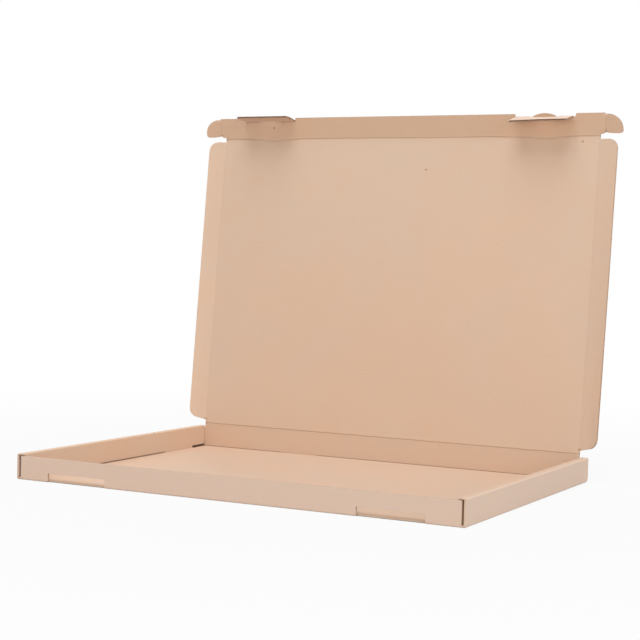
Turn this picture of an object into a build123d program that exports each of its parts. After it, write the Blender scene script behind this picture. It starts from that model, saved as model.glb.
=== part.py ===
# Mailer box: a flat tray with roll-over side walls and a hinged lid with a tuck flap.
# One die-cut sheet of thin corrugated board, shown with the lid standing open.
# Axes: X along the front wall, Y to the back, Z up, origin at the centre of the base.
import os
from math import cos, radians, sin

from build123d import *

# Board and outer size
board = 1.4
half = board / 2
length = 350.0
width = 246.0
side_height = 18.7
front_height = 17.3

# Roll-over side wall, from the outside in
strip_thick = 0.8
ear_slit = 1.6
panel_round = 4.0
dust_gap = 0.2
dust_length = 38.0
panel_gap = 0.6
bend_radius = 1.2
dust_outer = length / 2 - board - ear_slit
inner_outer = dust_outer - board - dust_gap
inner_face = inner_outer - board

# Floor-locking tabs of the roll-over panels
lock_start = 62.0
lock_end = 108.0
slot_clearance = 0.2

# Windows for the lock tabs
window_centre = length / 2 - 52.0
window_length = 49.0
window_height = 6.4
floor_notch = 2.2

# Lid and its hinge
hinge_height = 21.0
hinge_y = width / 2 - half
lid_lean = 5.59
lid_half = length / 2 - 6.9
lid_depth = width + 0.3

# Side flaps of the lid
flap_height = 15.4
flap_start = 2.8
flap_end = lid_depth - 2.6
flap_taper = 3.0
flap_corner = 8.0
flap_fold = 10.0

# Tuck flap, ears, tongues and lock tabs
tuck_height = 17.8
tuck_fold = 19.0
ear_half = dust_outer + ear_slit / 2
slot_low = 1.5
ear_low = 2.8
ear_high = 17.0
ear_reach = 14.0
ear_fold = 6.0
tab_line = 15.0
tab_length = 47.4
tab_depth = 17.0
tab_side_gap = 0.6
notch_round = 2.6
tab_fold_left = 66.0
tab_fold_right = 88.0
tongue_length = 22.0
tongue_rise = 3.2
tongue_gap = 1.2

# Each score line has a nose on both sides of its axis, cut back a little over 45 degrees
nose = 0.77
nose_tip = 0.03


def turned(base, origin, x_dir, toward, degrees):
    """A plane on base whose y direction is turned by degrees toward a given direction."""
    start = base.from_local_coords(Vector(*origin))
    across = base.from_local_coords(Vector(*x_dir)) - base.origin
    normal = base.from_local_coords(Vector(*toward)) - base.origin
    along = normal.cross(across)
    tilt = radians(degrees)
    return Plane(start, x_dir=across, z_dir=normal * cos(tilt) - along * sin(tilt))


def score(base, point, inward, run, reach):
    """Cutter for the nose of a panel: the score line goes through point and runs along run."""
    start = base.from_local_coords(Vector(*point))
    into = base.from_local_coords(Vector(*inward)) - base.origin
    line = base.from_local_coords(Vector(*run)) - base.origin
    with BuildPart() as cutter:
        with BuildSketch(Plane(start, x_dir=into, z_dir=line)):
            for face in (-1, 1):
                with BuildLine():
                    Polyline(
                        (-0.5, face * nose_tip * 0.6),
                        (nose_tip, face * nose_tip * 0.6),
                        (nose, face * half),
                        (nose, face * (half + 0.2)),
                        (-0.5, face * (half + 0.2)),
                        close=True,
                    )
                make_face()
        extrude(amount=reach / 2, both=True)
    return cutter.part


def rounder(end, radius, x_start, x_end):
    """Cutter that rounds the lower edge of the front (-1) or back (1) end of the tray."""
    y = end * width / 2
    with BuildPart() as cutter:
        with BuildSketch(Plane.YZ.offset(x_start)):
            with BuildLine():
                RadiusArc((y - end * radius, 0), (y, radius), end * -radius)
                Polyline(
                    (y, radius),
                    (y + end, radius),
                    (y + end, -1),
                    (y - end * radius, -1),
                    (y - end * radius, 0),
                )
            make_face()
        extrude(amount=x_end - x_start)
    return cutter.part


lid_plane = Plane(
    (0, hinge_y, hinge_height),
    x_dir=(1, 0, 0),
    z_dir=(0, -cos(radians(lid_lean)), sin(radians(lid_lean))),
)
tuck_plane = turned(lid_plane, (0, lid_depth, 0), (1, 0, 0), (0, 0, 1), tuck_fold)
right_flap_plane = turned(lid_plane, (lid_half, 0, 0), (0, -1, 0), (0, 0, 1), flap_fold)
right_ear_plane = turned(tuck_plane, (ear_half, 0, 0), (0, -1, 0), (0, 0, 1), ear_fold)
left_tab_plane = turned(tuck_plane, (-window_centre, tab_line, 0), (1, 0, 0), (0, 0, 1), tab_fold_left)
right_tab_plane = turned(tuck_plane, (window_centre, tab_line, 0), (1, 0, 0), (0, 0, 1), tab_fold_right)


# Tray: floor, walls, dust flaps and roll-over sides in one folded sheet
with BuildPart() as tray:
    # Floor, outer panels and roll-over strips share one section along the box
    with BuildSketch(Plane.XZ.offset(-width / 2)) as side_section:
        Rectangle(length, board, align=(Align.CENTER, Align.MIN))
        for side in (-1, 1):
            with Locations((side * (length / 2 - half), 0)):
                Rectangle(board, side_height, align=(Align.CENTER, Align.MIN))
            with Locations((side * (length / 2 + inner_face) / 2, side_height - strip_thick)):
                Rectangle(length / 2 - inner_face, strip_thick, align=(Align.CENTER, Align.MIN))
        outer_corners = [v for v in side_section.vertices() if abs(abs(v.X) - length / 2) < 0.01]
        fillet(outer_corners, radius=bend_radius)
    extrude(amount=width)

    # Floor slots that take the roll-over tabs
    slot_width = board + 2 * slot_clearance
    slot_long = lock_end - lock_start + 2 * slot_clearance
    for side in (-1, 1):
        for end in (-1, 1):
            with Locations((side * (inner_face + half), end * (lock_start + lock_end) / 2, 0)):
                Box(slot_width, slot_long, 2 * board + 0.1, mode=Mode.SUBTRACT)

    # Inner panels hang from the strips and stop just above the floor, but for their tabs
    panel_low = board + panel_gap
    panel_end = width / 2 - board - 0.3
    panel_top = side_height - strip_thick / 2
    for side in (-1, 1):
        with BuildSketch(Plane.YZ.offset(side * (inner_face + half))):
            with Locations((0, panel_low)):
                Rectangle(2 * panel_end, panel_top - panel_low, align=(Align.CENTER, Align.MIN))
            for end in (-1, 1):
                with Locations((end * (lock_start + lock_end) / 2, 0.3)):
                    Rectangle(lock_end - lock_start, panel_low, align=(Align.CENTER, Align.MIN))
        extrude(amount=half, both=True)
    inner_edges = [
        e
        for e in tray.edges().filter_by(Axis.Y)
        if abs(abs(e.center().X) - inner_face) < 0.01 and abs(e.center().Z - side_height) < 0.01
    ]
    fillet(inner_edges, radius=0.6)

    # Front and back walls, the back one rising to the lid hinge between the side walls
    for end in (-1, 1):
        with Locations((0, end * (width / 2 - half), 0)):
            Box(2 * dust_outer, board, front_height, align=(Align.CENTER, Align.CENTER, Align.MIN))
    with BuildSketch(Plane.YZ):
        with BuildLine():
            Polyline(
                (width / 2 - board, board),
                (width / 2 - board, hinge_height - nose),
                (hinge_y - nose_tip, hinge_height - nose_tip),
                (hinge_y + nose_tip, hinge_height - nose_tip),
                (width / 2, hinge_height - nose),
                (width / 2, board),
                close=True,
            )
        make_face()
    extrude(amount=lid_half, both=True)

    # Dust flaps turned in from both ends of the front and back walls
    for side in (-1, 1):
        for end in (-1, 1):
            with Locations((side * (dust_outer - half), end * (width - dust_length) / 2, board + 0.2)):
                Box(board, dust_length, front_height - board - 0.2, align=(Align.CENTER, Align.CENTER, Align.MIN))
    corner_bends = [
        e
        for e in tray.edges().filter_by(Axis.Z)
        if abs(abs(e.center().X) - dust_outer) < 0.01 and abs(abs(e.center().Y) - width / 2) < 0.01
    ]
    fillet(corner_bends, radius=0.8)

    # Rounded foot of the front and back walls, and rounder lower back corners of the outer panels
    add(rounder(-1, bend_radius, -length / 2, length / 2), mode=Mode.SUBTRACT)
    add(rounder(1, bend_radius, -length / 2, length / 2), mode=Mode.SUBTRACT)
    add(rounder(1, panel_round, -length / 2, -length / 2 + board), mode=Mode.SUBTRACT)
    add(rounder(1, panel_round, length / 2 - board, length / 2), mode=Mode.SUBTRACT)

    # Windows at the foot of the front wall, each with a notch in the floor edge
    for side in (-1, 1):
        with Locations((side * window_centre, -width / 2, 0)):
            Box(window_length, 2 * floor_notch, 2 * window_height, mode=Mode.SUBTRACT)
tray.part.label = "tray"

# Lid panel, scored along the hinge, the tuck flap and both side flaps
with BuildPart() as lid:
    with BuildSketch(lid_plane.offset(-half)):
        with Locations((0, nose_tip)):
            Rectangle(2 * lid_half - 2 * nose_tip, lid_depth - 2 * nose_tip, align=(Align.CENTER, Align.MIN))
    extrude(amount=board)
    flap_middle = (flap_start + flap_end) / 2
    flap_run = flap_end - flap_start + 0.6
    add(score(lid_plane, (0, 0, 0), (0, 1, 0), (1, 0, 0), 2 * lid_half), mode=Mode.SUBTRACT)
    add(score(lid_plane, (0, lid_depth, 0), (0, -1, 0), (1, 0, 0), 2 * lid_half), mode=Mode.SUBTRACT)
    for side in (-1, 1):
        add(
            score(lid_plane, (side * lid_half, flap_middle, 0), (-side, 0, 0), (0, 1, 0), flap_run),
            mode=Mode.SUBTRACT,
        )
lid.part.label = "lid"

# Right side flap of the lid, with rounded outer corners
with BuildPart() as lid_side_flap_right:
    with BuildSketch(right_flap_plane.offset(-half)) as flap_outline:
        with BuildLine():
            Polyline(
                (-flap_end, nose_tip),
                (-flap_start, nose_tip),
                (-flap_start - flap_taper, flap_height),
                (-flap_end, flap_height),
                close=True,
            )
        make_face()
        outer = [v for v in flap_outline.vertices() if v.Y > 1]
        fillet(outer, radius=flap_corner)
    extrude(amount=board)
    add(score(right_flap_plane, (-flap_middle, 0, 0), (0, 1, 0), (1, 0, 0), flap_run), mode=Mode.SUBTRACT)
lid_side_flap_right.part.label = "lid_side_flap_right"

# Left side flap
with BuildPart() as lid_side_flap_left:
    add(lid_side_flap_right.part)
    mirror(about=Plane.YZ, mode=Mode.REPLACE)
lid_side_flap_left.part.label = "lid_side_flap_left"

# Tuck flap, wider than the lid, with a notch for each lock tab and a half-moon tongue in it
with BuildPart() as tuck_flap:
    with BuildSketch(tuck_plane.offset(-half)) as tuck_outline:
        with BuildLine():
            Polyline(
                (lid_half - nose_tip, nose_tip),
                (lid_half + 0.4, slot_low),
                (ear_half - 2.2, slot_low),
                (ear_half - nose_tip, ear_low),
                (ear_half - nose_tip, ear_high),
                (ear_half - 0.8, tuck_height),
                (-ear_half + 0.8, tuck_height),
                (-ear_half + nose_tip, ear_high),
                (-ear_half + nose_tip, ear_low),
                (-ear_half + 2.2, slot_low),
                (-lid_half - 0.4, slot_low),
                (-lid_half + nose_tip, nose_tip),
                close=True,
            )
        make_face()
        for side in (-1, 1):
            notch_inner = window_centre - tab_length / 2 - tab_side_gap
            notch_outer = window_centre + tab_length / 2 + notch_round
            with Locations((side * (notch_inner + notch_outer) / 2, tab_line - nose_tip)):
                Rectangle(
                    notch_outer - notch_inner,
                    tuck_height,
                    align=(Align.CENTER, Align.MIN),
                    mode=Mode.SUBTRACT,
                )
            tongue_left = side * window_centre - tongue_length / 2
            tongue_right = side * window_centre + tongue_length / 2
            with BuildLine():
                ThreePointArc(
                    (tongue_left, tab_line),
                    (side * window_centre, tab_line + tongue_rise),
                    (tongue_right, tab_line),
                )
                Polyline(
                    (tongue_right, tab_line),
                    (tongue_right, tab_line - 1),
                    (tongue_left, tab_line - 1),
                    (tongue_left, tab_line),
                )
            make_face()
        notch_corners = [
            v
            for v in tuck_outline.vertices()
            if abs(abs(v.X) - notch_outer) < 0.01 and v.Y < tab_line
        ]
        fillet(notch_corners, radius=notch_round)
    extrude(amount=board)
    add(score(tuck_plane, (0, 0, 0), (0, 1, 0), (1, 0, 0), 2 * lid_half + 4), mode=Mode.SUBTRACT)
    hinge_long = (tab_length - tongue_length) / 2 + tab_side_gap
    hinge_offset = tongue_length / 2 + hinge_long / 2
    ear_middle = (ear_low + ear_high) / 2
    for side in (-1, 1):
        for part_side in (-1, 1):
            hinge_x = side * window_centre + part_side * hinge_offset
            add(
                score(tuck_plane, (hinge_x, tab_line, 0), (0, -1, 0), (1, 0, 0), hinge_long),
                mode=Mode.SUBTRACT,
            )
        add(
            score(tuck_plane, (side * ear_half, ear_middle, 0), (-side, 0, 0), (0, 1, 0), tuck_height),
            mode=Mode.SUBTRACT,
        )
tuck_flap.part.label = "tuck_flap"

# Right ear: a large quarter round on the free side, a small lobe below
with BuildPart() as tuck_ear_right:
    with BuildSketch(right_ear_plane.offset(-half)) as ear_outline:
        with BuildLine():
            Line((-ear_low, nose_tip), (-ear_high, nose_tip))
            Line((-ear_high, nose_tip), (-ear_high, 1.5))
            EllipticalCenterArc(
                (-ear_low - 3.0, 1.5),
                ear_high - ear_low - 3.0,
                ear_reach - 1.5,
                start_angle=90,
                arc_size=90,
            )
            Line((-ear_low - 3.0, ear_reach), (-ear_low, ear_reach))
            Line((-ear_low, ear_reach), (-ear_low, nose_tip))
        make_face()
        lobe = [v for v in ear_outline.vertices() if abs(v.X + ear_low) < 0.01 and v.Y > 5]
        fillet(lobe, radius=2.6)
    extrude(amount=board)
    add(
        score(right_ear_plane, (-ear_middle, 0, 0), (0, 1, 0), (1, 0, 0), tuck_height),
        mode=Mode.SUBTRACT,
    )
tuck_ear_right.part.label = "tuck_ear_right"

# Left ear
with BuildPart() as tuck_ear_left:
    add(tuck_ear_right.part)
    mirror(about=Plane.YZ, mode=Mode.REPLACE)
tuck_ear_left.part.label = "tuck_ear_left"

# Left lock tab, its root cut out round the tongue
with BuildPart() as lock_tab_left:
    with BuildSketch(left_tab_plane.offset(-half)) as left_tab_outline:
        with BuildLine():
            Polyline(
                (-tab_length / 2, nose_tip),
                (-tab_length / 2 + 0.8, tab_depth),
                (tab_length / 2 - 0.8, tab_depth),
                (tab_length / 2, nose_tip),
                close=True,
            )
        make_face()
        free_corners = [v for v in left_tab_outline.vertices() if v.Y > 5]
        fillet(free_corners, radius=2.5)
        with BuildLine():
            ThreePointArc(
                (-tongue_length / 2 - tongue_gap, 0),
                (0, tongue_rise + 0.4),
                (tongue_length / 2 + tongue_gap, 0),
            )
            Line((tongue_length / 2 + tongue_gap, 0), (-tongue_length / 2 - tongue_gap, 0))
        make_face(mode=Mode.SUBTRACT)
    extrude(amount=board)
    add(score(left_tab_plane, (0, 0, 0), (0, 1, 0), (1, 0, 0), tab_length + 1), mode=Mode.SUBTRACT)
lock_tab_left.part.label = "lock_tab_left"

# Right lock tab, the same cut, folded further
with BuildPart() as lock_tab_right:
    with BuildSketch(right_tab_plane.offset(-half)) as right_tab_outline:
        with BuildLine():
            Polyline(
                (-tab_length / 2, nose_tip),
                (-tab_length / 2 + 0.8, tab_depth),
                (tab_length / 2 - 0.8, tab_depth),
                (tab_length / 2, nose_tip),
                close=True,
            )
        make_face()
        free_corners = [v for v in right_tab_outline.vertices() if v.Y > 5]
        fillet(free_corners, radius=2.5)
        with BuildLine():
            ThreePointArc(
                (-tongue_length / 2 - tongue_gap, 0),
                (0, tongue_rise + 0.4),
                (tongue_length / 2 + tongue_gap, 0),
            )
            Line((tongue_length / 2 + tongue_gap, 0), (-tongue_length / 2 - tongue_gap, 0))
        make_face(mode=Mode.SUBTRACT)
    extrude(amount=board)
    add(score(right_tab_plane, (0, 0, 0), (0, 1, 0), (1, 0, 0), tab_length + 1), mode=Mode.SUBTRACT)
lock_tab_right.part.label = "lock_tab_right"

os.makedirs("parts", exist_ok=True)
export_step(tray.part, "parts/tray.step")
export_step(lid.part, "parts/lid.step")
export_step(lid_side_flap_left.part, "parts/lid_side_flap_left.step")
export_step(lid_side_flap_right.part, "parts/lid_side_flap_right.step")
export_step(tuck_flap.part, "parts/tuck_flap.step")
export_step(tuck_ear_left.part, "parts/tuck_ear_left.step")
export_step(tuck_ear_right.part, "parts/tuck_ear_right.step")
export_step(lock_tab_left.part, "parts/lock_tab_left.step")
export_step(lock_tab_right.part, "parts/lock_tab_right.step")
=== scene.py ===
"""Flat mailer box of thin corrugated board, standing open with its lid up."""
import math
import random

import bmesh
import bpy
from mathutils import Matrix, Quaternion, Vector


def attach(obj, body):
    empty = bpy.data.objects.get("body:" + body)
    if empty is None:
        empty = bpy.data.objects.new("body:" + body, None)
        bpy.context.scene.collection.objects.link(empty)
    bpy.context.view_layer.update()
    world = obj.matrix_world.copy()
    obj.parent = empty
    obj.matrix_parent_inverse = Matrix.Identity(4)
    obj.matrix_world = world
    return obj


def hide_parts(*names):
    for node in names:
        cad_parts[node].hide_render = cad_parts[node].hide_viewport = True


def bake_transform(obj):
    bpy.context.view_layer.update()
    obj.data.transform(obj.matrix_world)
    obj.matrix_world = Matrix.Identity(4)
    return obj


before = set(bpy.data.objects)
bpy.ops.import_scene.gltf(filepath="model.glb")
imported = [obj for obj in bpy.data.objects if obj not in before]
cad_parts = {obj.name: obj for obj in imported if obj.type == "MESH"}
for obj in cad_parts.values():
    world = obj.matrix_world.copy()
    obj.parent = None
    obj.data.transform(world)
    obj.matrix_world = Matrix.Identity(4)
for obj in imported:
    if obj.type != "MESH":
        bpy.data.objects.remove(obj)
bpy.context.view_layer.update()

# ---------------------------------------------------------------------------
# Tray
# One die-cut sheet of 1.4 mm board, brown kraft liner on both faces of fine flutes, folded up
# into four walls. The side walls roll over and hook into slots in the floor, and hold the dust
# flaps of the front and back walls shut between their two layers.

MM = 0.001
X, Y, Z = Vector((1, 0, 0)), Vector((0, 1, 0)), Vector((0, 0, 1))
BOARD = 1.4 * MM
HALF = BOARD / 2
FLUTE_PITCH, FLUTE_HEIGHT = 3.1, 0.42
LINER = (0.675, 0.490, 0.368)
LINER_WARM = (0.690, 0.482, 0.350)
LINER_PALE = (0.730, 0.560, 0.440)
FIBRE_DARK = (0.400, 0.250, 0.160)
CUT_LINER = (0.690, 0.500, 0.375)
# Painted shade in the hollow flutes between the liners of a cut edge.
FLUTE_HOLLOW_SHADE = (0.230, 0.130, 0.078)
# Dark brown of fold lines: in the creases partly crushed liner and partly painted shade, at the
# back wall's foot painted shade.
PRESSED_AND_SHADED = (0.330, 0.190, 0.115)
# Painted deep shade in gaps and notches, also the colour of specks and a scuff.
GAP_SHADE_AND_SPECK = (0.120, 0.064, 0.040)
LINER_OUTSIDE = (0.731, 0.538, 0.428)


class Pulp:
    """One value or colour inside a material, on which sums are written as plain expressions."""

    def __init__(self, tree, socket=None):
        self.tree = tree
        self.socket = socket

    def add(self, kind, settings, values, output=0):
        """Any node: its type, its settings, then the values or links of its sockets."""
        node = self.tree.nodes.new("ShaderNode" + kind)
        for name, value in settings.items():
            setattr(node, name, value)
        by_name = {s.identifier: s for s in node.inputs}
        for name, value in values.items():
            socket = node.inputs[name] if isinstance(name, int) else by_name[name]
            if isinstance(value, Pulp):
                self.tree.links.new(value.socket, socket)
            else:
                socket.default_value = value
        return Pulp(self.tree, node.outputs[output] if len(node.outputs) else None)

    def sum(self, operation, *others):
        return self.add("Math", {"operation": operation}, dict(enumerate([self, *others])))

    def __add__(self, other):
        return self.sum("ADD", other)

    def __sub__(self, other):
        return self.sum("SUBTRACT", other)

    def __mul__(self, other):
        return self.sum("MULTIPLY", other)

    def __radd__(self, other):
        return self.sum("ADD", other)

    def __rmul__(self, other):
        return self.sum("MULTIPLY", other)

    def __rsub__(self, other):
        return self.add("Math", {"operation": "SUBTRACT"}, {0: other, 1: self})

    def __gt__(self, other):
        return self.sum("GREATER_THAN", other)

    def __lt__(self, other):
        return self.sum("LESS_THAN", other)

    def __abs__(self):
        return self.sum("ABSOLUTE")

    def clear(self):
        """Held between 0 and 1."""
        return self.add("Clamp", {}, {"Value": self})

    def along(self, direction):
        """How far this point lies along a direction."""
        values = {0: self, 1: tuple(direction)}
        return self.add("VectorMath", {"operation": "DOT_PRODUCT"}, values, 1)

    def span(self, low, high):
        """0 below low, 1 above high, and a smooth step between them."""
        values = {"Value": self, "From Min": low, "From Max": high, "To Min": 0.0, "To Max": 1.0}
        return self.add("MapRange", {"interpolation_type": "SMOOTHSTEP"}, values)

    def into(self, colour_a, colour_b):
        """Colour a where this is 0 and colour b where it is 1."""
        colours = [c if isinstance(c, Pulp) else (*c, 1.0) for c in (colour_a, colour_b)]
        values = {"Factor_Float": self, "A_Color": colours[0], "B_Color": colours[1]}
        return self.add("Mix", {"data_type": "RGBA"}, values, 2)

    def point(self, x, y, z):
        return self.add("CombineXYZ", {}, {0: x, 1: y, 2: z})

    def near(self, place, radius):
        """1 within a small radius of a place, for a mark."""
        values = {0: self, 1: tuple(place)}
        far = self.add("VectorMath", {"operation": "DISTANCE"}, values, 1)
        return 1 - far.span(radius * 0.4, radius)

    def grain(self, scale, detail=2.0, roughness=0.5):
        """Fine noise on this point."""
        values = {"Vector": self, "Scale": scale, "Detail": detail, "Roughness": roughness}
        return self.add("TexNoise", {"noise_dimensions": "3D"}, values)


def board_material(name, along, across, cut, seed, stain_and_shade=None, inside=None, tone=1.0):
    """Kraft board whose flutes run along one direction of the panel and repeat across it.

    The liner on the box's outside is a little greyer, and tone warms the inside one; on the tuck
    flap, its ears and their creases that warmth is painted bounce light."""
    material = bpy.data.materials.new(name)
    material.use_nodes = True
    tree = material.node_tree
    shader = tree.nodes["Principled BSDF"]
    start = Pulp(tree)
    here = start.add("TexCoord", {}, {}, 3)
    facing = start.add("TexCoord", {}, {}, 1)
    run = here.along(along) * 1000
    step = (across(here, facing) if callable(across) else here.along(across)) * 1000
    spot = start.point(run * 0.3 + seed, step, here.along((1, 1, 1)) * 120 + seed)
    cloud = here.grain(17, 3.0, 0.55)
    fibre = spot.grain(1.6, 3.0, 0.65)
    hair = spot.grain(5.0, 2.0, 0.5)
    waver = here.grain(30, 1.0) * 1.2
    flute = (step * (2 * math.pi / FLUTE_PITCH) + waver).sum("SINE")
    lines = flute * here.grain(12, 2.0).span(0.4, 0.75)
    warm = [tuple(c * tone ** k for k, c in enumerate(liner)) for liner in (LINER, LINER_WARM)]
    liner = cloud.span(0.3, 0.7).into(*warm)
    if inside:
        liner = inside(here, facing).into(LINER_OUTSIDE, liner)
    liner = (fibre.span(0.4, 0.8) * 0.30).into(liner, LINER_PALE)
    liner = (hair.span(0.58, 0.8) * 0.12).into(liner, FIBRE_DARK)
    liner = ((lines + 1) * 0.012).into(liner, FIBRE_DARK)
    flecks = start.point(run * 0.5, step, seed * 3.7).grain(0.8, 0.0).span(0.80, 0.86)
    liner = (flecks * 0.13).into(liner, FIBRE_DARK)
    # Creases carry a dark line down their valley: partly crushed liner, partly painted shade.
    crush_and_shade = start.add("Attribute", {"attribute_name": "crush_and_shade"}, {}, "Fac")
    liner = (crush_and_shade * 0.5).into(liner, PRESSED_AND_SHADED)
    # Painted shade of fold lines and gaps, together with real specks and scuffs.
    if stain_and_shade:
        fold_shade, deep_shade_and_specks = stain_and_shade(here, facing)
        liner = deep_shade_and_specks.into(fold_shade.into(liner, PRESSED_AND_SHADED), GAP_SHADE_AND_SPECK)
    # Cut edges keep light liners, with painted shade in the hollow flutes between them.
    edge, hollow_shade = cut(here, facing, run, step)
    colour = edge.into(liner, hollow_shade.into(CUT_LINER, FLUTE_HOLLOW_SHADE))
    height = fibre * 0.45 + hair * 0.3 + lines * 0.2 - edge * hollow_shade * 1.2
    bump = start.add("Bump", {}, {"Strength": 0.3, "Distance": 0.00012, "Height": height})
    tree.links.new(colour.socket, shader.inputs["Base Color"])
    rough = 0.80 + fibre * 0.15
    tree.links.new(rough.socket, shader.inputs["Roughness"])
    tree.links.new(bump.socket, shader.inputs["Normal"])
    shader.inputs["IOR"].default_value = 1.45
    shader.inputs["Specular IOR Level"].default_value = 0.2
    return material


def finish_node(name, material):
    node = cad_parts[name]
    node.data.materials.clear()
    node.data.materials.append(material)
    return node


HALF_LENGTH, HALF_WIDTH = 175.0 * MM, 123.0 * MM
SIDE_WALL = 6.1 * MM
STRIP_UNDERSIDE = 17.5 * MM
INNER_PANEL = (167.6 * MM, 169.2 * MM)
PANEL_END = 121.4 * MM
WINDOW_CENTRE, WINDOW_HALF, WINDOW_NOTCH = 123.0 * MM, 24.5 * MM, 119.0 * MM
FOOT_SHUT, FOOT_OPEN = 56.5 * MM, 102.5 * MM
FOLD_BREAK = (-96 * MM, -88 * MM, -63 * MM, -54 * MM)
FOLD_FADE = (118 * MM, 135 * MM)
SCUFF = (-169.0 * MM, 43.8 * MM, 18.4 * MM)


def tray_across(here, facing):
    upright = abs(facing.along(Y)) > 0.7
    return here.along(Y) * (1 - upright) + here.along(Z) * upright


def tray_cut(here, facing, run, step):
    """Where the raw edge of the sheet shows: wall tops, wall ends and window jambs, with painted
    shade between the liners.
    """
    x, y, z = abs(here.along(X)), abs(here.along(Y)), here.along(Z)
    ends = (abs(facing.along(Y)) > 0.9) * (x > HALF_LENGTH - SIDE_WALL)
    rolled = (x < HALF_LENGTH - 4.5 * MM) * (y < HALF_WIDTH - 1.0 * MM)
    ends = ends * ((x > HALF_LENGTH - BOARD) + rolled + (z > STRIP_UNDERSIDE)).clear()
    tops = (abs(facing.along(Z)) > 0.9) * (z > 5 * MM) * (x < HALF_LENGTH - 3 * MM)
    tops = tops * (y > HALF_WIDTH - BOARD)
    beside_window = (y > HALF_WIDTH - BOARD * 1.6) * (x < 150 * MM)
    jambs = (abs(facing.along(X)) > 0.9) * beside_window
    # Painted shade between the flutes of a raw edge, and a flat share of it on the jambs.
    wave = (run * (2 * math.pi / FLUTE_PITCH)).sum("SINE") * 0.2 + 0.2
    return (ends + tops + jambs).clear(), wave * (1 - jambs) * (1 - ends) + jambs * 0.4


def tray_shade_and_scuff(here, facing):
    """Painted shade of the dark fold line at the foot of the back wall, of the gaps at the inner
    panels' foot and of the window notches, and a scuff on the left wall."""
    x, y, z = here.along(X), here.along(Y), here.along(Z)
    # Painted shade of the fold at the foot of the back wall, broken and faded along it.
    floor_line = y.span(HALF_WIDTH - 2.6 * MM, HALF_WIDTH - 1.5 * MM)
    floor_line = floor_line * (z < 1.6 * MM) * (z > 1.0 * MM)
    wall_line = 1 - z.span(1.5 * MM, 2.3 * MM)
    wall_line = wall_line * (y > HALF_WIDTH - 1.8 * MM) * (facing.along(Y) < -0.5)
    broken = 1 - x.span(*FOLD_BREAK[:2]) * (1 - x.span(*FOLD_BREAK[2:])) * 0.7
    ended = 1 - x.span(*FOLD_FADE) * 0.75
    fold = (floor_line + wall_line).clear() * broken * ended * 0.75
    # Painted contact shadow along the bottom of each window notch.
    window = (abs(abs(x) - WINDOW_CENTRE) < WINDOW_HALF) * (y < -WINDOW_NOTCH)
    notch = window * (1 - z.span(0.2 * MM, 0.5 * MM))
    # Painted shade in the gap at the inner panels' foot, away from the lock tabs.
    panel = (abs(x) < INNER_PANEL[1]) * (abs(x) > INNER_PANEL[0])
    panel = panel * (abs(y) < PANEL_END) * (z > 1.2 * MM)
    slot = (abs(y) > FOOT_OPEN) * (1 - z.span(2.9 * MM, 3.3 * MM))
    slit = (abs(y) < FOOT_SHUT) * (1 - z.span(2.0 * MM, 2.3 * MM)) * 0.35
    scuff = here.near(SCUFF, 1.1 * MM) * 0.5
    return fold.clear(), (notch * 0.8 + panel * (slot + slit) + scuff).clear()


def tray_inside(here, facing):
    """1 on the faces that look into the tray."""
    side_in = (abs(here.along(X)) < HALF_LENGTH - 1.5 * MM) + (abs(facing.along(X)) < 0.5)
    front_in = (here.along(Y) > -HALF_WIDTH + HALF) + (facing.along(Y) > -0.5)
    back_in = here.along(Y) < HALF_WIDTH - HALF
    return side_in.clear() * front_in.clear() * back_in * (here.along(Z) > HALF)


tray_board = board_material(
    "tray_board", X, tray_across, tray_cut, 0.0, tray_shade_and_scuff, tray_inside
)
finish_node("tray", tray_board)

# ---------------------------------------------------------------------------
# Lid
# The top panel of the same sheet. The back wall carries on into it over a score line, on
# which it leans back a little.

HINGE = Vector((0, 122.3, 21.0)) * MM
LEAN = math.radians(5.59)
LID_HALF, LID_DEPTH = 168.1 * MM, 246.3 * MM
LID_SPECKS = ((22.9, 219.8), (154.3, 241.8))
LID_UP = Vector((0, math.sin(LEAN), math.cos(LEAN)))
LID_IN = Vector((0, -math.cos(LEAN), math.sin(LEAN)))


def panel_cut(inside, middle=None):
    """Every face of a panel that doesn't look along its thickness is a cut edge.

    A bent panel has no one middle plane, and carries its depth as an attribute."""

    def cut(here, facing, run, step):
        if middle:
            depth = (here.along(inside) - inside.dot(middle)) * 1000
        else:
            depth = here.add("Attribute", {"attribute_name": "depth"}, {}, "Fac")
        edge = abs(facing.along(inside)) < 0.75
        # Painted shade in the hollow flutes between the liners, broken by light flute paper across
        # the flutes.
        hollow_shade = 1 - abs(depth).span(0.45, 0.58)
        if not middle:
            return edge, hollow_shade
        wave = depth - (step * (2 * math.pi / FLUTE_PITCH)).sum("SINE") * FLUTE_HEIGHT
        paper = 1 - abs(wave).span(0.10, 0.22)
        across_flutes = abs(facing.along(X)) > 0.7
        return edge, hollow_shade * (1 - paper * across_flutes * 0.8)

    return cut


def faces_in(inside):
    """1 on the side of a panel that looks into the closed box."""
    return lambda here, facing: facing.along(inside) > -0.3


lid_cut = panel_cut(LID_IN, HINGE)


def marks(*places):
    """Small dark specks on the liner."""

    def stain_and_shade(here, facing):
        specks = sum(here.near(place, 1.0 * MM) * 0.75 for place in places)
        return facing.along(X) * 0, specks

    return stain_and_shade


lid_marks = [HINGE + (X * x + LID_UP * u) * MM + LID_IN * HALF for x, u in LID_SPECKS]
lid_board = board_material(
    "lid_board", X, LID_UP, lid_cut, 11.0, marks(*lid_marks), faces_in(LID_IN)
)
finish_node("lid", lid_board)

# ---------------------------------------------------------------------------
# Side flaps of the lid
# Long tabs of the same sheet with rounded corners. Each stands forward from its crease, more
# near the hinge than at the free edge, because the board keeps some of its fold.

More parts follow.
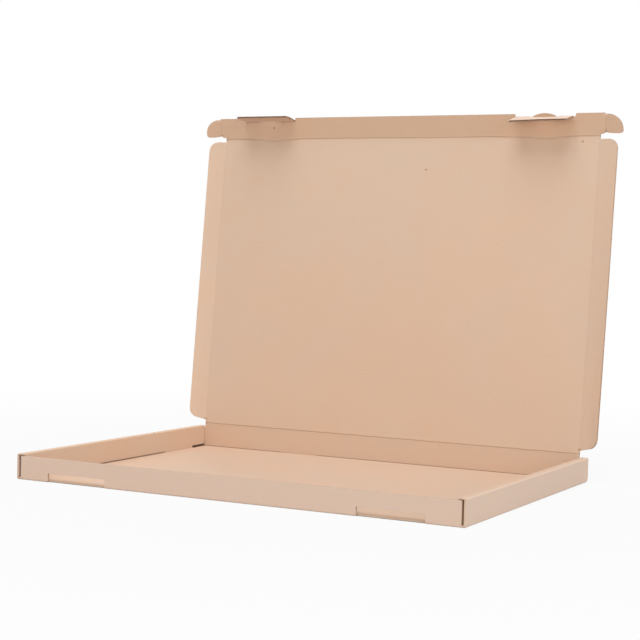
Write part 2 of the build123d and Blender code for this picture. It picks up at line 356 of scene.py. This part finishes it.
FLAP_START, FLAP_END, FLAP_HEIGHT, FLAP_TAPER, FLAP_CORNER = 2.8, 243.7, 15.4, 3.0, 8.0
FLAP_FOLD = math.radians(10)
FLAP_FOLD_HINGE, FLAP_BEND_HINGE = math.radians(12.5), math.radians(24)
FLAP_BEND_FROM, FLAP_BEND_TO = 7.0, 9.5
AT_CREASE, NOSE, FLUTES_FROM = 0.03, 0.77, 1.9
GROOVE, FLUTE_PAPER, LINER_EDGE, FLUTE_GAP, SOFT_EDGE = 0.8, 0.17, 0.07, 0.03, 0.14


def node_tree_for_flutes():
    """The fluted paper between the liners, followed round a cut edge as a wavy ribbon."""
    tree = bpy.data.node_groups.new("flutes", "GeometryNodeTree")
    face = tree.interface
    face.new_socket("Edge", in_out="INPUT", socket_type="NodeSocketGeometry")
    for name in ("Pitch", "Height", "Paper", "Depth"):
        face.new_socket(name, in_out="INPUT", socket_type="NodeSocketFloat")
    face.new_socket("Across", in_out="INPUT", socket_type="NodeSocketVector")
    face.new_socket("Material", in_out="INPUT", socket_type="NodeSocketMaterial")
    face.new_socket("Flutes", in_out="OUTPUT", socket_type="NodeSocketGeometry")
    new, link = tree.nodes.new, tree.links.new
    given, made = new("NodeGroupInput"), new("NodeGroupOutput")
    steps = new("GeometryNodeResampleCurve")
    steps.mode = "LENGTH"
    share = new("ShaderNodeMath")
    share.operation = "DIVIDE"
    share.inputs[1].default_value = 10
    link(given.outputs["Pitch"], share.inputs[0])
    link(given.outputs["Edge"], steps.inputs["Curve"])
    link(share.outputs[0], steps.inputs["Length"])
    place, way = new("GeometryNodeInputPosition"), new("ShaderNodeVectorMath")
    way.operation = "DOT_PRODUCT"
    link(place.outputs[0], way.inputs[0])
    link(given.outputs["Across"], way.inputs[1])
    turns = new("ShaderNodeMath")
    turns.operation = "DIVIDE"
    link(way.outputs["Value"], turns.inputs[0])
    link(given.outputs["Pitch"], turns.inputs[1])
    angle = new("ShaderNodeMath")
    angle.operation = "MULTIPLY"
    angle.inputs[1].default_value = 2 * math.pi
    link(turns.outputs[0], angle.inputs[0])
    wave = new("ShaderNodeMath")
    wave.operation = "SINE"
    link(angle.outputs[0], wave.inputs[0])
    rise = new("ShaderNodeMath")
    rise.operation = "MULTIPLY"
    link(wave.outputs[0], rise.inputs[0])
    link(given.outputs["Height"], rise.inputs[1])
    offset = new("ShaderNodeCombineXYZ")
    link(rise.outputs[0], offset.inputs["Z"])
    lift = new("GeometryNodeSetPosition")
    link(steps.outputs["Curve"], lift.inputs["Geometry"])
    link(offset.outputs[0], lift.inputs["Offset"])
    upright = new("GeometryNodeSetCurveNormal")
    upright.mode = "Z_UP"
    link(lift.outputs["Geometry"], upright.inputs["Curve"])
    strip = new("GeometryNodeCurvePrimitiveQuadrilateral")
    link(given.outputs["Depth"], strip.inputs["Width"])
    link(given.outputs["Paper"], strip.inputs["Height"])
    ribbon = new("GeometryNodeCurveToMesh")
    ribbon.inputs["Fill Caps"].default_value = True
    link(upright.outputs["Curve"], ribbon.inputs["Curve"])
    link(strip.outputs["Curve"], ribbon.inputs["Profile Curve"])
    real = new("GeometryNodeRealizeInstances")
    finish = new("GeometryNodeSetMaterial")
    link(ribbon.outputs["Mesh"], real.inputs["Geometry"])
    link(real.outputs["Geometry"], finish.inputs["Geometry"])
    link(given.outputs["Material"], finish.inputs["Material"])
    link(finish.outputs["Geometry"], made.inputs["Flutes"])
    return tree


def no_cut(here, facing, run, step):
    return facing.along(X) * 0, facing.along(X) * 0


flute_tree = node_tree_for_flutes()
flute_board = board_material("flute_paper", X, LID_UP, no_cut, 67.0, None, None, 0.93)


def flutes(name, outline, start, across, place, body):
    """The fluted paper along a panel's open edge, starting some way out of the fold."""
    corners = [Vector((x, y)) for x, y, *_ in outline]
    path = []
    for a, b in zip(corners, corners[1:] + corners[:1]):
        if a.y >= start:
            path.append(a)
        if (a.y - start) * (b.y - start) < 0:
            path.append(a.lerp(b, (start - a.y) / (b.y - a.y)))
    at_start = [abs(p.y - start) < 1e-4 for p in path]
    first = next(k for k in range(len(path)) if at_start[k] and at_start[k - 1])
    path = path[first:] + path[:first]
    middle = sum(path, Vector((0, 0))) / len(path)
    inner = []
    for k, p in enumerate(path):
        ahead, behind = path[min(k + 1, len(path) - 1)], path[max(k - 1, 0)]
        direction = (ahead - behind).normalized()
        inward = Vector((-direction.y, direction.x))
        if inward.dot(middle - p) < 0:
            inward = -inward
        inner.append(p + inward * (GROOVE / 2 + FLUTE_GAP))
    line = bpy.data.curves.new(name, "CURVE")
    line.dimensions = "3D"
    spline = line.splines.new("POLY")
    spline.points.add(len(inner) - 1)
    for k, p in enumerate(inner):
        spline.points[k].co = (p.x, p.y, 0, 1)
    maker = bpy.data.objects.new(name + "_line", line)
    bpy.context.scene.collection.objects.link(maker)
    modifier = maker.modifiers.new("flutes", "NODES")
    modifier.node_group = flute_tree
    sockets = flute_tree.interface.items_tree
    inputs = {i.name: i.identifier for i in sockets if i.in_out == "INPUT"}
    sizes = {"Pitch": FLUTE_PITCH, "Height": FLUTE_HEIGHT, "Paper": FLUTE_PAPER, "Depth": GROOVE}
    for given, value in (*sizes.items(), ("Across", across), ("Material", flute_board)):
        modifier[inputs[given]] = value
    ready = maker.evaluated_get(bpy.context.evaluated_depsgraph_get())
    mesh = bpy.data.meshes.new_from_object(ready)
    bpy.data.objects.remove(maker)
    for v in mesh.vertices:
        v.co = place(*v.co)
    mesh.name = name
    shape = bmesh.new()
    shape.from_mesh(mesh)
    bmesh.ops.recalc_face_normals(shape, faces=shape.faces[:])
    shape.to_mesh(mesh)
    shape.free()
    piece = bpy.data.objects.new(name, mesh)
    bpy.context.scene.collection.objects.link(piece)
    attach(piece, body)


def rounded(corners, steps=7):
    """An outline with round corners, from (x, y, radius) points."""
    outline = []
    for place, (x, y, radius) in enumerate(corners):
        here = Vector((x, y))
        if not radius:
            outline.append(here)
            continue
        before = (Vector(corners[place - 1][:2]) - here).normalized()
        after = (Vector(corners[(place + 1) % len(corners)][:2]) - here).normalized()
        half_angle = before.angle(after) / 2
        reach = radius / math.tan(half_angle)
        centre = here + (before + after).normalized() * (radius / math.sin(half_angle))
        first, last = here + before * reach - centre, here + after * reach - centre
        for k in range(steps + 1):
            turn = first.angle_signed(last) * k / steps
            outline.append(centre + Matrix.Rotation(-turn, 2) @ first)
    return outline


def board_panel(name, outline, cuts, place, material, groove_from):
    """A panel of board from its flat outline in mm, cut into cells so that it can bend.

    Its cut edge is open between the two liners from some way out of the fold."""
    shape = bmesh.new()
    face = shape.faces.new([shape.verts.new((p[0], p[1], 0)) for p in outline])
    face.normal_update()
    if face.normal.z < 0:
        face.normal_flip()
    for axis, values in enumerate(cuts):
        for value in values:
            spot = Vector((value, 0, 0)) if axis == 0 else Vector((0, value, 0))
            normal = X if axis == 0 else Y
            parts = shape.verts[:] + shape.edges[:] + shape.faces[:]
            bmesh.ops.bisect_plane(shape, geom=parts, dist=0.001, plane_co=spot, plane_no=normal)
    rim = [e for e in shape.edges if e.is_boundary]
    front = shape.faces[:]
    copy = bmesh.ops.duplicate(shape, geom=shape.verts[:] + shape.edges[:] + front)
    twin = {v: copy["vert_map"][v] for v in copy["vert_map"] if v in set(shape.verts)}
    backs = [f for f in copy["geom"] if isinstance(f, bmesh.types.BMFace)]
    back_verts = {v for f in backs for v in f.verts}
    for v in back_verts:
        v.co.z = -HALF / MM
    for f in front:
        for v in f.verts:
            v.co.z = HALF / MM
    for f in backs:
        f.normal_flip()
    for e in rim:
        a, b = e.verts
        shape.faces.new((a, b, twin[b], twin[a]))
    bmesh.ops.recalc_face_normals(shape, faces=shape.faces[:])
    sharp = [e for e in shape.edges if e.is_manifold and e.calc_face_angle() > 1.0]
    sharp = [e for e in sharp if min(v.co.y for v in e.verts) > 0.5]
    bmesh.ops.bevel(
        shape, geom=sharp, offset=SOFT_EDGE, segments=2, affect="EDGES", clamp_overlap=True
    )
    shape.normal_update()
    cut_faces = [f for f in shape.faces if abs(f.normal.z) < 0.1]
    cut_faces = [f for f in cut_faces if min(v.co.y for v in f.verts) > groove_from - 0.01]
    bmesh.ops.inset_region(shape, faces=cut_faces, thickness=LINER_EDGE, depth=-GROOVE)
    depths = [v.co.z for v in shape.verts]
    for v in shape.verts:
        u, out, depth = v.co
        v.co = place(u, out, depth * min(1, 0.05 + 0.95 * max(out, 0) / NOSE))
    mesh = bpy.data.meshes.new(name)
    shape.to_mesh(mesh)
    shape.free()
    mesh.attributes.new("depth", "FLOAT", "POINT").data.foreach_set("value", depths)
    mesh.materials.append(material)
    piece = bpy.data.objects.new(name, mesh)
    bpy.context.scene.collection.objects.link(piece)
    return piece


for side, word in ((-1, "left"), (1, "right")):
    root = HINGE + X * side * LID_HALF
    out = X * side * math.cos(FLAP_FOLD) + LID_IN * math.sin(FLAP_FOLD)
    inside = LID_IN * math.cos(FLAP_FOLD) - X * side * math.sin(FLAP_FOLD)

    def flap_place(u, v, w, root=root, side=side):
        """Straight beside the crease, then twisted a little and bent outside the wall's height."""
        share = (1 - u / FLAP_END) ** 1.2
        ripple = math.sin(u / 31 + side) * 0.006 + math.sin(u / 13) * 0.003
        low = FLAP_FOLD + (FLAP_FOLD_HINGE - FLAP_FOLD) * share + ripple
        high = FLAP_FOLD + (FLAP_BEND_HINGE - FLAP_FOLD) * share + ripple
        parts = (
            (0, NOSE, FLAP_FOLD),
            (NOSE, FLAP_BEND_FROM, low),
            (FLAP_BEND_FROM, FLAP_BEND_TO, (low + high) / 2),
            (FLAP_BEND_TO, FLAP_HEIGHT, high),
        )
        spot, thick = Vector((0, 0, 0)), None
        for first, last, fold in parts:
            if thick is None or v > first + 0.01:
                thick = LID_IN * math.cos(fold) - X * side * math.sin(fold)
                reach = X * side * math.cos(fold) + LID_IN * math.sin(fold)
                spot = spot + reach * (min(v, last) - first)
        return root + (LID_UP * u + spot + thick * w) * MM

    flap_outline = rounded(
        [
            (FLAP_START, AT_CREASE, 0),
            (FLAP_START + FLAP_TAPER, FLAP_HEIGHT, FLAP_CORNER),
            (FLAP_END, FLAP_HEIGHT, FLAP_CORNER),
            (FLAP_END, AT_CREASE, 0),
        ]
    )
    flap_cuts = ([k * 10.0 for k in range(1, 25)], [0.4, NOSE, 4.0, 7.0, 9.5, 12.0])

    flap_board = board_material(
        f"side_flap_{word}_board",
        out,
        LID_UP,
        panel_cut(inside),
        23.0 + side,
        None,
        faces_in(inside),
    )
    flap = board_panel(
        f"side_flap_{word}", flap_outline, flap_cuts, flap_place, flap_board, NOSE
    )
    flutes(
        f"side_flap_{word}_flutes",
        flap_outline,
        FLUTES_FROM,
        X,
        flap_place,
        f"lid_side_flap_{word}",
    )
    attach(flap, f"lid_side_flap_{word}")
    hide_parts(f"lid_side_flap_{word}")

# ---------------------------------------------------------------------------
# Tuck flap
# The flap at the lid's free edge, folded forward, notched for two lock tabs that are cut
# from it, with a half-moon tongue in each notch.

TUCK_FOLD = math.radians(19)
TUCK_UP = LID_UP * math.cos(TUCK_FOLD) + LID_IN * math.sin(TUCK_FOLD)
TUCK_IN = LID_IN * math.cos(TUCK_FOLD) - LID_UP * math.sin(TUCK_FOLD)
TUCK_ROOT = HINGE + LID_UP * LID_DEPTH
# Warmer inner liner of the tuck flap and its ears: painted warm bounce light, as little direct
# light reaches them.
TUCK_BOUNCE_WARMTH = 0.925
TUCK_SPECK = (-120.0, 9.6)
tuck_cut = panel_cut(TUCK_IN, TUCK_ROOT)
tuck_marks = marks(
    TUCK_ROOT + (X * TUCK_SPECK[0] + TUCK_UP * TUCK_SPECK[1]) * MM + TUCK_IN * HALF
)
tuck_board = board_material(
    "tuck_board", X, TUCK_UP, tuck_cut, 37.0, tuck_marks, faces_in(TUCK_IN), TUCK_BOUNCE_WARMTH
)
finish_node("tuck_flap", tuck_board)

# ---------------------------------------------------------------------------
# Ears of the tuck flap
# A rounded ear at each end of the tuck flap, which slides into the slit at the box's front
# corner. Its big curve is above, and a small lobe below, towards the lid.

EAR_HALF = 172.8 * MM
EAR_FOLD = math.radians(6)
EAR_LOW, EAR_HIGH, EAR_REACH, EAR_SHOULDER = 2.9, 17.0, 14.0, 1.5
EAR_CURVE_FOOT, EAR_CURVE_STEPS = 5.6, 15
EAR_LOBE = ((4.6, 14.0), (3.5, 13.85), (2.7, 13.2), (2.2, 12.1), (2.05, 10.7), (2.05, 9.0))
EAR_LOBE += ((2.1, 6.0), (2.3, 3.0), (2.45, 1.5), (EAR_LOW, 0.9))

for side, word in ((-1, "left"), (1, "right")):
    root = TUCK_ROOT + X * side * EAR_HALF
    out = X * side * math.cos(EAR_FOLD) + TUCK_IN * math.sin(EAR_FOLD)
    inside = TUCK_IN * math.cos(EAR_FOLD) - X * side * math.sin(EAR_FOLD)

    def ear_place(u, v, w, root=root, out=out, inside=inside):
        return root + (TUCK_UP * u + out * v + inside * w) * MM

    curve = [(EAR_LOW, AT_CREASE), (EAR_HIGH, AT_CREASE), (EAR_HIGH, EAR_SHOULDER)]
    for k in range(1, EAR_CURVE_STEPS):
        angle = k / EAR_CURVE_STEPS * math.pi / 2
        rise = (EAR_HIGH - EAR_CURVE_FOOT) * math.cos(angle) + EAR_CURVE_FOOT
        curve.append((rise, EAR_SHOULDER + (EAR_REACH - EAR_SHOULDER) * math.sin(angle)))
    curve += EAR_LOBE
    ear_cuts = ([4.0, 7.0, 10.0, 13.0], [0.4, NOSE, 3.0, 6.0, 9.0, 12.0])
    ear_board = board_material(
        f"ear_{word}_board",
        out,
        TUCK_UP,
        panel_cut(inside),
        41.0 + side,
        None,
        faces_in(inside),
        TUCK_BOUNCE_WARMTH,
    )
    ear = board_panel(f"ear_{word}", curve, ear_cuts, ear_place, ear_board, NOSE)
    flutes(f"ear_{word}_flutes", curve, FLUTES_FROM, X, ear_place, f"tuck_ear_{word}")
    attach(ear, f"tuck_ear_{word}")
    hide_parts(f"tuck_ear_{word}")

# ---------------------------------------------------------------------------
# Lock tabs
# Two tabs cut from the tuck flap's edge and pushed in, which later go through the windows of
# the front wall. The board curls a little from root to tip.

TAB_LINE, TAB_LENGTH, TAB_DEPTH = 15.0, 47.4, 17.0
TONGUE_LENGTH, TONGUE_RISE, TONGUE_GAP = 22.0, 3.2, 1.2
TAB_FOLD = {-1: math.radians(66), 1: math.radians(88)}
TAB_CURL = {-1: math.radians(13), 1: math.radians(3)}
TAB_SAG = {-1: 0.0, 1: 0.9}
TAB_FLARE, TAB_TIP_RADIUS = 0.45, 0.8
TAB_GROOVE_FROM, TAB_FLUTES_FROM = 4.0, 4.1
HOLLOW_SPACE, HOLLOW_RISE, HOLLOW_STEPS = 0.3, 0.7, 12

for side, word in ((-1, "left"), (1, "right")):
    root = TUCK_ROOT + TUCK_UP * TAB_LINE * MM + X * side * WINDOW_CENTRE
    fold, curl, sag = TAB_FOLD[side], TAB_CURL[side], TAB_SAG[side]
    reach = TUCK_UP * math.cos(fold) + TUCK_IN * math.sin(fold)
    inside = TUCK_IN * math.cos(fold) - TUCK_UP * math.sin(fold)

    def tab_place(u, v, w, root=root, fold=fold, curl=curl, sag=sag):
        bend = curl * max(v, 0.001) / TAB_DEPTH
        middle = fold - curl * 0.25 + bend / 2
        tip = fold - curl * 0.25 + bend
        reach = TUCK_UP * math.cos(middle) + TUCK_IN * math.sin(middle)
        thick = TUCK_IN * math.cos(tip) - TUCK_UP * math.sin(tip)
        drop = sag * (0.5 - u / TAB_LENGTH) ** 2 * v / TAB_DEPTH
        return root + (X * u + reach * v + thick * (w + drop)) * MM

    half_tab = TAB_LENGTH / 2
    half_tongue = TONGUE_LENGTH / 2 + TONGUE_GAP + HOLLOW_SPACE
    hollow = []
    for k in range(HOLLOW_STEPS + 1):
        u = half_tongue - 2 * half_tongue * k / HOLLOW_STEPS
        share = 1 - (u / half_tongue) ** 2
        hollow.append((u, AT_CREASE + (TONGUE_RISE + HOLLOW_RISE) * share, 0))
    tip = half_tab + TAB_FLARE
    tip_corners = [(-tip, TAB_DEPTH, TAB_TIP_RADIUS), (tip, TAB_DEPTH, TAB_TIP_RADIUS)]
    root_corners = [(-half_tab, AT_CREASE, 0), (half_tab, AT_CREASE, 0)]
    tab_outline = rounded([root_corners[0], *tip_corners, root_corners[1], *hollow])
    tab_cuts = (
        [-20.0, -16.0, -8.0, 0.0, 8.0, 16.0, 20.0],
        [0.4, NOSE, 4.0, 7.0, 10.0, 13.0, 15.5],
    )
    tab_board = board_material(
        f"lock_tab_{word}_board",
        X,
        reach,
        panel_cut(inside),
        47.0 + side,
        None,
        faces_in(inside),
    )
    tab = board_panel(
        f"lock_tab_piece_{word}", tab_outline, tab_cuts, tab_place, tab_board, TAB_GROOVE_FROM
    )
    flutes(
        f"lock_tab_{word}_flutes", tab_outline, TAB_FLUTES_FROM, Y, tab_place, f"lock_tab_{word}"
    )
    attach(tab, f"lock_tab_{word}")
    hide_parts(f"lock_tab_{word}")

# ---------------------------------------------------------------------------
# Creases
# Each fold is a pressed line: the liner is crushed into a valley between two low ridges on
# the inside, and bulges in a flat bead on the outside. It bends as its panels turn.

# Down the valley a dark line is painted: partly the crushed liner, partly painted shade of the
# valley.
VALLEY = [(-1.7, 0.60), (-1.35, 0.715), (-1.0, 0.775), (-0.75, 0.77), (-0.5, 0.66)]
VALLEY += [(-0.25, 0.52), (0, 0.46)]
VALLEY += [(-s, h) for s, h in reversed(VALLEY[:-1])]
BEAD = [(-1.5, 0.60), (-1.15, 0.715), (-0.8, 0.77), (-0.4, 0.84), (0, 0.87)]
BEAD += [(-s, h) for s, h in reversed(BEAD[:-1])]
CREASE_HALF, CREASE_BLEND, RIDGE, FLUSH, SKIN = 1.7, 0.9, 0.77, 0.706, 0.16
STATION, BEND_REACH = 2.5, 0.8
TAB_CREASE_FROM = 12.6
TUCK_DIPS = ((-122, 14, 1.5), (-104, 9, 0.4), (124, 17, 1.6), (96, 9, 0.5), (20, 30, 0.25))


def crease(name, root, run, length, sheets, material, dips=(), press=1.0, dark=1.0):
    """One fold. The sheet comes along sheet_a, facing face_a, and goes on along sheet_b.

    dips are (centre, width, depth) of places where the line strays from straight."""
    first, last = length
    sheet_a, face_a, sheet_b = sheets
    turn = sheet_a.rotation_difference(sheet_b)
    noise = random.Random(name)
    waves = [
        (noise.uniform(9, 40), noise.uniform(0, 6.3), noise.uniform(0.02, 0.05)) for _ in range(4)
    ]
    stations = max(2, round((last - first) / STATION))
    points, faces, shades = [], [], []
    for profile, sign in ((VALLEY, 1), (BEAD, -1)):
        loop = [(s, h, 1) for s, h in profile] + [(s, h - SKIN, 0) for s, h in reversed(profile)]
        base = len(points)
        for k in range(stations + 1):
            u = first + (last - first) * k / stations
            wander = sum(a * math.sin(u / w * 6.283 + p) for w, p, a in waves)
            dip = sum(d * math.exp(-(((u - c) / wide) ** 2)) for c, wide, d in dips)
            for s, h, top in loop:
                edge = min(1, (CREASE_HALF - abs(s)) / CREASE_BLEND)
                if sign > 0 and top and abs(s) < CREASE_BLEND:
                    h = RIDGE - (RIDGE - h) * (0.3 + 0.7 * press)
                if h > FLUSH:
                    h = FLUSH + (h - FLUSH) * max(press, 0.2)
                across = s + (wander - dip) * edge
                lift = h + 0.10 * dip * edge * (1 if s < 0 else 0.4) if sign > 0 else h
                share = max(0, min(1, (across + 0.75) / 1.5))
                share = share * share * (3 - 2 * share)
                part = Quaternion().slerp(turn, share)
                spot = (part @ sheet_a) * across + (part @ face_a) * lift * sign
                points.append(root + run * u * MM + spot * MM)
                # The dark line in the valley, partly crushed liner and partly painted shade.
                shades.append(math.exp(-((s / 0.5) ** 2)) * top * dark if sign > 0 else 0.0)
        ring = len(loop)
        for k in range(stations):
            for j in range(ring):
                a = base + k * ring + j
                b = base + k * ring + (j + 1) % ring
                faces.append((a, b, b + ring, a + ring))
        faces.append(tuple(base + j for j in range(ring)))
        faces.append(tuple(base + stations * ring + j for j in reversed(range(ring))))
    mesh = bpy.data.meshes.new(name)
    mesh.from_pydata(points, [], faces)
    shape = bmesh.new()
    shape.from_mesh(mesh)
    bmesh.ops.recalc_face_normals(shape, faces=shape.faces[:])
    shape.to_mesh(mesh)
    shape.free()
    mesh.attributes.new("crush_and_shade", "FLOAT", "POINT").data.foreach_set("value", shades)
    mesh.materials.append(material)
    mesh.shade_smooth()
    piece = bpy.data.objects.new(name, mesh)
    bpy.context.scene.collection.objects.link(piece)
    start, end = root - sheet_a * BEND_REACH * MM, root + sheet_b * BEND_REACH * MM
    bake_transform(piece)


def fold_inside(here, facing):
    return facing.along(-Y + Z * 0.3) > -0.3


# The tuck and ear creases are warmed like the tuck flap: painted warm bounce light.
fold_board, tuck_fold_board, ear_fold_board = (
    board_material(name, X, LID_UP, no_cut, seed, None, fold_inside, tone)
    for name, seed, tone in (
        ("crease_board", 53.0, 1.0),
        ("tuck_crease_board", 59.0, 0.96),
        ("ear_crease_board", 61.0, TUCK_BOUNCE_WARMTH),
    )
)
ends = (-LID_HALF / MM, LID_HALF / MM)
crease(
    "crease_hinge",
    HINGE,
    X,
    ends,
    (Z, -Y, LID_UP),
    fold_board,
    press=0.8,
    dark=0.9,
)
crease(
    "crease_tuck",
    TUCK_ROOT,
    X,
    ends,
    (LID_UP, LID_IN, TUCK_UP),
    tuck_fold_board,
    TUCK_DIPS,
    press=0.5,
    dark=0.9,
)
for side, word in ((-1, "left"), (1, "right")):
    sideways = X * side
    out = sideways * math.cos(FLAP_FOLD) + LID_IN * math.sin(FLAP_FOLD)
    crease(
        f"crease_side_{word}",
        HINGE + sideways * LID_HALF,
        LID_UP,
        (FLAP_START, FLAP_END),
        (sideways, LID_IN, out),
        fold_board,
        press=0.12,
        dark=0.15,
    )
    out = sideways * math.cos(EAR_FOLD) + TUCK_IN * math.sin(EAR_FOLD)
    crease(
        f"crease_ear_{word}",
        TUCK_ROOT + sideways * EAR_HALF,
        TUCK_UP,
        (EAR_LOW, EAR_HIGH),
        (sideways, TUCK_IN, out),
        ear_fold_board,
        press=0.15,
        dark=0.25,
    )
    fold = TAB_FOLD[side] - TAB_CURL[side] * 0.25
    reach = TUCK_UP * math.cos(fold) + TUCK_IN * math.sin(fold)
    beside_hollow = ((-TAB_LENGTH / 2, -TAB_CREASE_FROM), (TAB_CREASE_FROM, TAB_LENGTH / 2))
    for place, (low, high) in enumerate(beside_hollow):
        crease(
            f"crease_tab_{word}_{place + 1}",
            TUCK_ROOT + TUCK_UP * TAB_LINE * MM + X * side * WINDOW_CENTRE,
            X,
            (low, high),
            (TUCK_UP, TUCK_IN, reach),
            ear_fold_board,
            press=0.9,
        )

# ---------------------------------------------------------------------------
# Studio
# A pale round floor that runs into a white background. A large soft lamp hangs above the
# front, a low warm one stands before the box, a cooler one at the right and one behind it, and
# the world gives even light from all round.

FLOOR_RADIUS, FLOOR_SIDES = 6, 96
floor_mesh = bpy.data.meshes.new("floor")
turns = [a * 2 * math.pi / FLOOR_SIDES for a in range(FLOOR_SIDES)]
rim = [(math.cos(a) * FLOOR_RADIUS, math.sin(a) * FLOOR_RADIUS, 0) for a in turns]
floor_mesh.from_pydata(rim, [], [tuple(range(FLOOR_SIDES))])
floor = bpy.data.objects.new("floor", floor_mesh)
bpy.context.scene.collection.objects.link(floor)
white = bpy.data.materials.new("floor_white")
white.use_nodes = True
white.node_tree.nodes.clear()
paper = Pulp(white.node_tree)
matt = paper.add("BsdfDiffuse", {}, {"Color": (0.62, 0.62, 0.62, 1)})
glow = paper.add("Emission", {}, {"Color": (1, 1, 1, 1), "Strength": 1.0})
seen = paper.add("LightPath", {}, {}, "Is Camera Ray")
from_centre = {0: paper.add("TexCoord", {}, {}, 3)}
far = paper.add("VectorMath", {"operation": "LENGTH"}, from_centre, 1)
share = far.span(0.2, 0.9) * 0.1 + 0.9
both = paper.add("MixShader", {}, {"Fac": seen * share, "Shader": matt, "Shader_001": glow})
paper.add("OutputMaterial", {}, {"Surface": both})
floor.data.materials.append(white)

world = bpy.data.worlds.new("studio")
bpy.context.scene.world = world
world.use_nodes = True
world.node_tree.nodes.clear()
air = Pulp(world.node_tree)
names = ("Is Camera Ray", "Is Glossy Ray", "Is Transmission Ray")
rays = [air.add("LightPath", {}, {}, name) for name in names]
straight = (rays[0] + rays[1] + rays[2]).clear()
soft = air.add("Background", {}, {"Color": (1, 1, 1, 1), "Strength": 0.43})
clean = air.add("Background", {}, {"Color": (1, 1, 1, 1), "Strength": 1.0})
mixed = air.add("MixShader", {}, {"Fac": straight, "Shader": soft, "Shader_001": clean})
air.add("OutputWorld", {}, {"Surface": mixed})


def lamp(name, place, aim, size, power, colour):
    light = bpy.data.lights.new(name, "AREA")
    light.shape = "RECTANGLE"
    light.size, light.size_y = size
    light.energy = power
    light.color = colour
    holder = bpy.data.objects.new(name, light)
    bpy.context.scene.collection.objects.link(holder)
    holder.location = place
    holder.rotation_mode = "QUATERNION"
    holder.rotation_quaternion = (Vector(aim) - Vector(place)).to_track_quat("-Z", "Y")


lamp("key", (0.12, -0.54, 1.93), (0, 0.05, 0.1), (1.3, 1.3), 24.4, (0.92, 0.96, 1.0))
lamp("front", (0.20, -1.70, 0.35), (0, -0.12, 0.02), (1.8, 0.6), 7.2, (1.0, 0.94, 0.84))
lamp("right", (1.9, -0.35, 0.5), (0.1, 0, 0.05), (1.0, 1.0), 12, (0.91, 1.0, 1.0))
lamp("back", (-0.9, 1.9, 1.0), (0, 0.1, 0.1), (1.4, 1.4), 18, (1, 1, 1))

# Camera at the photograph's angle, a little above the rim of the tray.
AZIMUTH, ELEVATION, ROLL = (math.radians(a) for a in (26.14, 3.01, 1.61))
DISTANCE = 1.1407
TARGET = Vector((0.0305, 0.0147, 0.1059))
FOCAL = 1539.2
FRAME, CENTRE = 640, (360, 340)
level = Vector((math.sin(AZIMUTH), -math.cos(AZIMUTH), 0))
back = level * math.cos(ELEVATION) + Z * math.sin(ELEVATION)
right = Vector((math.cos(AZIMUTH), math.sin(AZIMUTH), 0))
up = back.cross(right)
turned_right = right * math.cos(ROLL) + up * math.sin(ROLL)
turned_up = up * math.cos(ROLL) - right * math.sin(ROLL)
view = bpy.data.cameras.new("camera")
view.sensor_width = 36
view.lens = FOCAL * view.sensor_width / FRAME
view.shift_x = (FRAME / 2 - CENTRE[0]) / FRAME
view.shift_y = (CENTRE[1] - FRAME / 2) / FRAME
camera = bpy.data.objects.new("camera", view)
bpy.context.scene.collection.objects.link(camera)
turn = Matrix((turned_right, turned_up, back)).transposed().to_4x4()
camera.matrix_world = Matrix.Translation(TARGET + back * DISTANCE) @ turn
bpy.context.scene.camera = camera

bpy.context.scene.view_settings.view_transform = "Standard"
